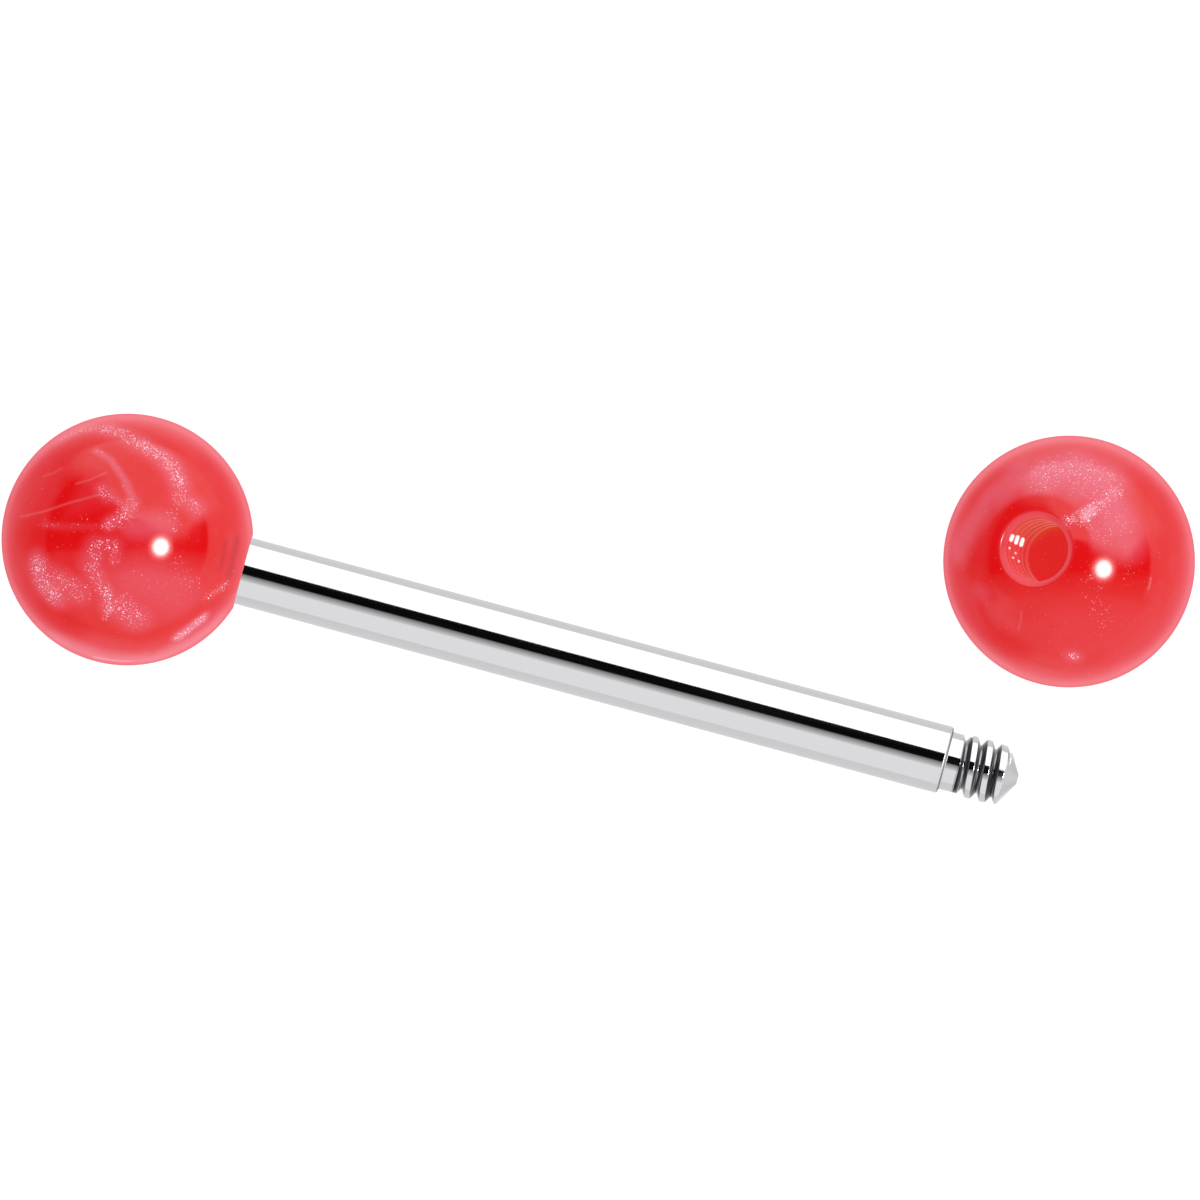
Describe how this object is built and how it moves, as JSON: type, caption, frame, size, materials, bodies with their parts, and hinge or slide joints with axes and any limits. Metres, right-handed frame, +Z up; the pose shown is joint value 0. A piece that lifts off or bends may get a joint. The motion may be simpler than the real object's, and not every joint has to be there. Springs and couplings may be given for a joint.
{
  "type": "tongue barbell",
  "caption": "Straight steel barbell for a tongue piercing, threaded at its ends, with a swirled red acrylic ball screwed on and its mate lying loose beside the open thread.",
  "frame": {"origin": "bottom centre of the whole layout, on the surface that it rests on", "axes": "+X along the long way of the layout, from the mounted ball towards the open thread; +Z up"},
  "size_m": [0.0278, 0.0108, 0.006],
  "materials": {
    "steel": "polished",
    "acrylic": "glossy with pearl swirls"
  },
  "bodies": {
    "post": {"post": "steel"},
    "mounted_ball": {"mounted_ball": "acrylic"},
    "loose_ball": {"loose_ball": "acrylic"}
  },
  "joints": [
    {"name": "mounted_ball_off", "type": "slide", "parent": "post", "child": "mounted_ball", "axis": [-0.9943, 0, 0.1065], "range_m": [0, 0.0025]},
    {"name": "loose_ball_shift", "type": "slide", "parent": "post", "child": "loose_ball", "axis": [0, 1, 0], "range_m": [0, 0.01]}
  ]
}
